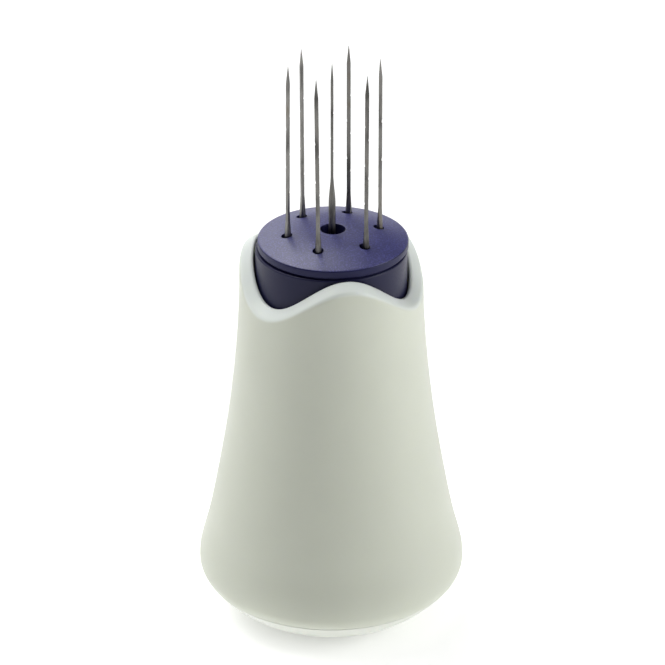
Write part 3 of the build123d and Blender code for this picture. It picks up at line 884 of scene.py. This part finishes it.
def needle_surface(sizes, blade, azimuth, distance, aside, lean, twist):
    """Sections carried along the crank, its bend and the straight wire. A section is a circle cut by three
    flats, r(t) = min(R, flat / cos(t - face)), whose flats move out to the circle below the blade. A barb
    cuts one edge in turn with a plane that climbs back to the edge, and lifts the edge just below."""
    blade_radius, blade_length, taper = blade
    blade_low = sizes.tip - blade_length
    taper_low = blade_low - taper
    barb, blade_z = blade_rows(sizes, blade_low)
    wire_z = np.concatenate([
        np.linspace(sizes.crank_height + sizes.bend_radius, sizes.shank_top, 6),
        np.linspace(sizes.shank_top + 0.2 * NECK_RUN, sizes.shank_top + NECK_RUN, 4),
        np.linspace(sizes.shank_top + 2 * NECK_RUN, taper_low - 0.5 * MM, 6),
        np.linspace(taper_low, blade_low - 0.3 * MM, 14)])
    z = np.concatenate([wire_z, blade_z, [sizes.tip]])
    ease = np.clip((z - taper_low) / taper, 0, 1)
    ease = (smooth(ease) + ease) / 2
    neck = ([sizes.shank_top, sizes.shank_top + NECK_RUN], [sizes.shank_radius, sizes.neck_radius])
    radius = np.interp(z, *neck)
    radius = radius + (blade_radius - sizes.neck_radius) * ease
    sharpen = np.clip((sizes.tip - z) / sizes.point, 0, 1)
    radius = radius * np.where(sharpen < 1, POINT_SHARE + (1 - POINT_SHARE) * sharpen**POINT_POWER, 1)
    radius[-1] = 0
    bend = np.linspace(0, math.pi / 2, 11)[:-1]
    run = np.array([sizes.crank_run] * 2 + [sizes.crank_run - 0.12 * MM, sizes.bend_radius + 0.5 * MM])
    start_u = np.concatenate([run, sizes.bend_radius * (1 - np.sin(bend))])
    start_z = sizes.crank_height + np.concatenate([np.zeros(4), sizes.bend_radius * (1 - np.cos(bend))])
    tilt = np.concatenate([np.full(4, math.pi / 2), math.pi / 2 - bend, np.zeros(len(z))])
    start_radius = sizes.shank_radius * np.concatenate([[0, 0.87, 1, 1], np.ones(len(bend))])
    centre_u = np.concatenate([start_u, np.zeros(len(z))])
    centre_z = np.concatenate([start_z, z])
    radius = np.concatenate([start_radius, radius])[:, None]

    around = full_turn(SPOKES)[None, :]
    turned_by = TURN / SPOKES * twist
    flat = 1 - (1 - sizes.flat_share) * np.concatenate([np.zeros(len(start_u)), ease])[:, None]
    face = np.mod(around - turned_by, TURN / 3) - TURN / 6
    reach = np.minimum(radius, radius * flat / np.cos(face))
    edge = turned_by + TURN / 3 * np.arange(len(barb))
    ramp_share = (centre_z[:, None] - barb) / sizes.barb_length
    cut = np.where((ramp_share > 0) & (ramp_share < 1), sizes.barb_depth_share * (1 - ramp_share), 0)
    below = 1 + ramp_share / LIFT_REACH
    lift = np.where((ramp_share <= 0) & (below > 0), LIFT * below, 0)
    facing = np.cos(around[:, :, None] - edge)
    plane = blade_radius * (1 - cut[:, None]) / np.maximum(facing, 0.05)
    reach = np.where(cut[:, None].any(axis=-1), np.minimum(reach, plane.min(axis=-1)), reach)
    reach = reach * (1 + (lift[:, None] * (facing > LIFT_COSINE)).sum(axis=-1))

    across = reach * np.cos(around)
    u = centre_u[:, None] + across * np.cos(tilt)[:, None]
    v = reach * np.sin(around)
    height = centre_z[:, None] + across * np.sin(tilt)[:, None]
    inward = np.array([-math.sin(azimuth), math.cos(azimuth)])
    if not distance:
        inward = np.array([0.0, -1.0])
    beside = np.array([-inward[1], inward[0]])
    x = -inward[0] * distance + u * inward[0] + v * beside[0]
    y = -inward[1] * distance + u * inward[1] + v * beside[1]
    rest = smooth(np.clip((centre_z - sizes.shank_top) / SETTLE_RUN, 0, 1))
    reach_up = np.clip((centre_z - sizes.shank_top) / (sizes.tip - sizes.shank_top), 0, 1)
    push = ((sizes.play + aside) * rest + lean * reach_up**LEAN_POWER)[:, None]
    side = sizes.play_azimuth
    return np.stack([x + push * math.sin(side), y - push * math.cos(side), height], axis=-1)


class FELTING_OT_needles(Operator):
    """Makes the six outer needles and the finer middle one"""

    bl_idname = "felting.needles"
    bl_label = "Needles"

    def execute(self, context):
        sizes = context.scene.felting_needles
        looks = context.scene.felting_looks
        steel = needle_steel("needle_steel_finish", looks)
        for name, node, degrees, aside, lean, twist in OUTER_SET:
            surface = needle_surface(
                sizes, OUTER_BLADE, math.radians(degrees), sizes.circle_radius, aside * MM, lean * MM, twist)
            add_piece(name, [surface], steel, "cartridge", "needle_steel", node, sharp=NEEDLE_SHARP)
        surface = needle_surface(sizes, MIDDLE_BLADE, 0.0, 0.0, MIDDLE_ASIDE * MM, 0.0, MIDDLE_TWIST)
        # Painted shade: the middle needle gets a darker copy of the same steel
        fine = needle_steel("middle_needle_shaded_steel_finish", looks, MIDDLE_SHADE_TONE)
        add_piece(
            "needle_middle", [surface], fine, "cartridge", "fine_needle_steel", "centre_needle",
            sharp=NEEDLE_SHARP)
        return {"FINISHED"}


# Stage

# Name, bearing from the camera in degrees, positive to its right, elevation, distance, width, height, and
# power in watts. Each is white and faces the tool.
LIGHTS = (
    ("back_top", -150, 60, 1.00, 0.50, 0.50, 3.7),
    ("left_top", -90, 60, 1.00, 0.50, 0.50, 2.5),
    ("ceiling", 180, 82, 1.10, 0.90, 0.90, 0.9),
    ("front_top", 0, 60, 1.00, 0.50, 0.50, 0.4),
    ("backdrop", 180, 8, 1.20, 1.60, 0.40, 2.0),
    ("key", -120, 50, 1.00, 0.50, 0.50, 1.3),
    ("sheen", -158, 28, 1.00, 0.40, 0.40, 1.2),
    ("left_window", -100, 15, 0.80, 0.40, 0.70, 1.0),
    ("right_window", 80, 15, 0.80, 0.40, 0.70, 3.9),
)
# The floor glows like a light table: distance from the tool's axis in metres, and level. The low level round
# the foot is a painted contact shadow, and the higher ring just beyond it a painted pool of light.
GLOW_WITH_PAINTED_SHADOW = (
    (0.012, 0.28), (0.016, 0.28), (0.024, 0.50), (0.035, 0.50), (0.06, 0.28), (0.22, 0.26), (0.5, 0.45),
    (1.0, 0.95))
PAPER = ((0.90, 0.90, 0.90), (0.92, 0.92, 0.92))
FLOOR_REACH = 3.0
FLOOR_DROP = 0.02 * MM      # from the foot down to the floor
SEEN_WHITE = 1.1            # strength of the white that the camera sees beyond the floor


def round_place(azimuth, elevation, distance, height):
    """The place at an azimuth and elevation round the axis point at a height."""
    flat = distance * math.cos(elevation)
    rise = distance * math.sin(elevation)
    return Vector((flat * math.sin(azimuth), -flat * math.cos(azimuth), height + rise))


def look_at(thing, target):
    thing.rotation_euler = (target - thing.location).to_track_quat("-Z", "Y").to_euler()


def floor_surface():
    """Flat square grid just under the foot."""
    reach = np.linspace(-FLOOR_REACH, FLOOR_REACH, 25)
    x, y = np.meshgrid(reach, reach)
    return flat_place(x, y, -FLOOR_DROP)


def make_floor(scene):
    """Pale paper whose glow depends on the distance from the tool's axis: low round the foot as a painted
    contact shadow, and higher just beyond as a painted pool of light.
    """
    finish, tree, shader, place = new_finish("floor_finish")
    feed(shader, "Base Color", tones(tree, noise(tree, place, 60.0), *PAPER))
    shader.inputs["Roughness"].default_value = 0.9
    away = tree.nodes.new("ShaderNodeVectorMath")
    away.operation = "LENGTH"
    feed(away, 0, place)
    # Painted contact shadow and pool of light in the floor's glow
    glow = ramp(tree, away.outputs["Value"], [(reach, (level,) * 3) for reach, level in GLOW_WITH_PAINTED_SHADOW])
    feed(shader, "Emission Color", glow)
    shader.inputs["Emission Strength"].default_value = scene.felting_stage.floor_glow
    floor = add_object("floor", make_mesh("floor", [floor_surface()]))
    floor.data.materials.append(finish)


def make_lights(scene, target):
    settings = scene.felting_stage
    for name, bearing, elevation, distance, width, height, power in LIGHTS:
        light = bpy.data.lights.new(name, "AREA")
        light.shape = "RECTANGLE"
        light.size, light.size_y = width, height
        light.energy = power
        lamp = add_object(name, light)
        azimuth = settings.azimuth + math.radians(bearing)
        lamp.location = round_place(azimuth, math.radians(elevation), distance, settings.aim_height)
        look_at(lamp, target)


def make_room(scene):
    """A faint even light from all round, which the camera sees as white."""
    world = bpy.data.worlds.new("soft_room")
    world.use_nodes = True
    nodes = world.node_tree.nodes
    background = nodes["Background"]
    seen = nodes.new("ShaderNodeLightPath")
    strength = nodes.new("ShaderNodeMix")
    strength.inputs["A"].default_value = scene.felting_stage.room_light
    strength.inputs["B"].default_value = SEEN_WHITE
    feed(strength, "Factor", seen.outputs["Is Camera Ray"])
    feed(background, "Strength", strength.outputs["Result"])
    background.inputs["Color"].default_value = (1.0, 1.0, 1.0, 1.0)
    scene.world = world
    scene.view_settings.view_transform = "Standard"


def make_camera(scene, target):
    settings = scene.felting_stage
    camera = add_object("camera", bpy.data.cameras.new("camera"))
    camera.data.lens = settings.focal_length
    camera.data.sensor_width = 36.0
    camera.data.clip_start = 0.01
    camera.data.shift_x = settings.shift
    camera.location = round_place(
        settings.azimuth, settings.elevation, settings.distance, settings.aim_height)
    look_at(camera, target)
    scene.camera = camera


class FELTING_OT_stage(Operator):
    """Sets the pale floor, the soft lights and the camera"""

    bl_idname = "felting.stage"
    bl_label = "Stage"

    def execute(self, context):
        scene = context.scene
        target = Vector((0, 0, scene.felting_stage.aim_height))
        make_floor(scene)
        make_lights(scene, target)
        make_room(scene)
        make_camera(scene, target)
        return {"FINISHED"}


class FELTING_PT_panel(Panel):
    """Sizes, colours and steps of the felting tool"""

    bl_idname = "FELTING_PT_panel"
    bl_label = "Felting tool"
    bl_space_type = "VIEW_3D"
    bl_region_type = "UI"
    bl_category = "Felting tool"

    def draw(self, context):
        for operator in OPERATORS:
            self.layout.operator(operator.bl_idname)
        for name, group in GROUPS.items():
            box = self.layout.box()
            settings = getattr(context.scene, name)
            for key in group.__annotations__:
                box.prop(settings, key)


GROUPS = {
    "felting_handle": HandleSizes,
    "felting_lid": LidSizes,
    "felting_needles": NeedleSizes,
    "felting_plug": PlugSizes,
    "felting_looks": Looks,
    "felting_stage": StageSettings,
}
OPERATORS = (
    FELTING_OT_stage, FELTING_OT_handle, FELTING_OT_drum, FELTING_OT_plug, FELTING_OT_lid, FELTING_OT_needles)


def register():
    for name, group in GROUPS.items():
        bpy.utils.register_class(group)
        setattr(bpy.types.Scene, name, PointerProperty(type=group))
    for kind in (*OPERATORS, FELTING_PT_panel):
        bpy.utils.register_class(kind)


def unregister():
    for kind in (FELTING_PT_panel, *reversed(OPERATORS)):
        bpy.utils.unregister_class(kind)
    for name, group in GROUPS.items():
        delattr(bpy.types.Scene, name)
        bpy.utils.unregister_class(group)


def main():
    register()
    bpy.ops.felting.stage()
    bpy.ops.felting.handle()
    bpy.ops.felting.drum()
    bpy.ops.felting.plug()
    bpy.ops.felting.lid()
    bpy.ops.felting.needles()


if __name__ == "__main__":
    main()
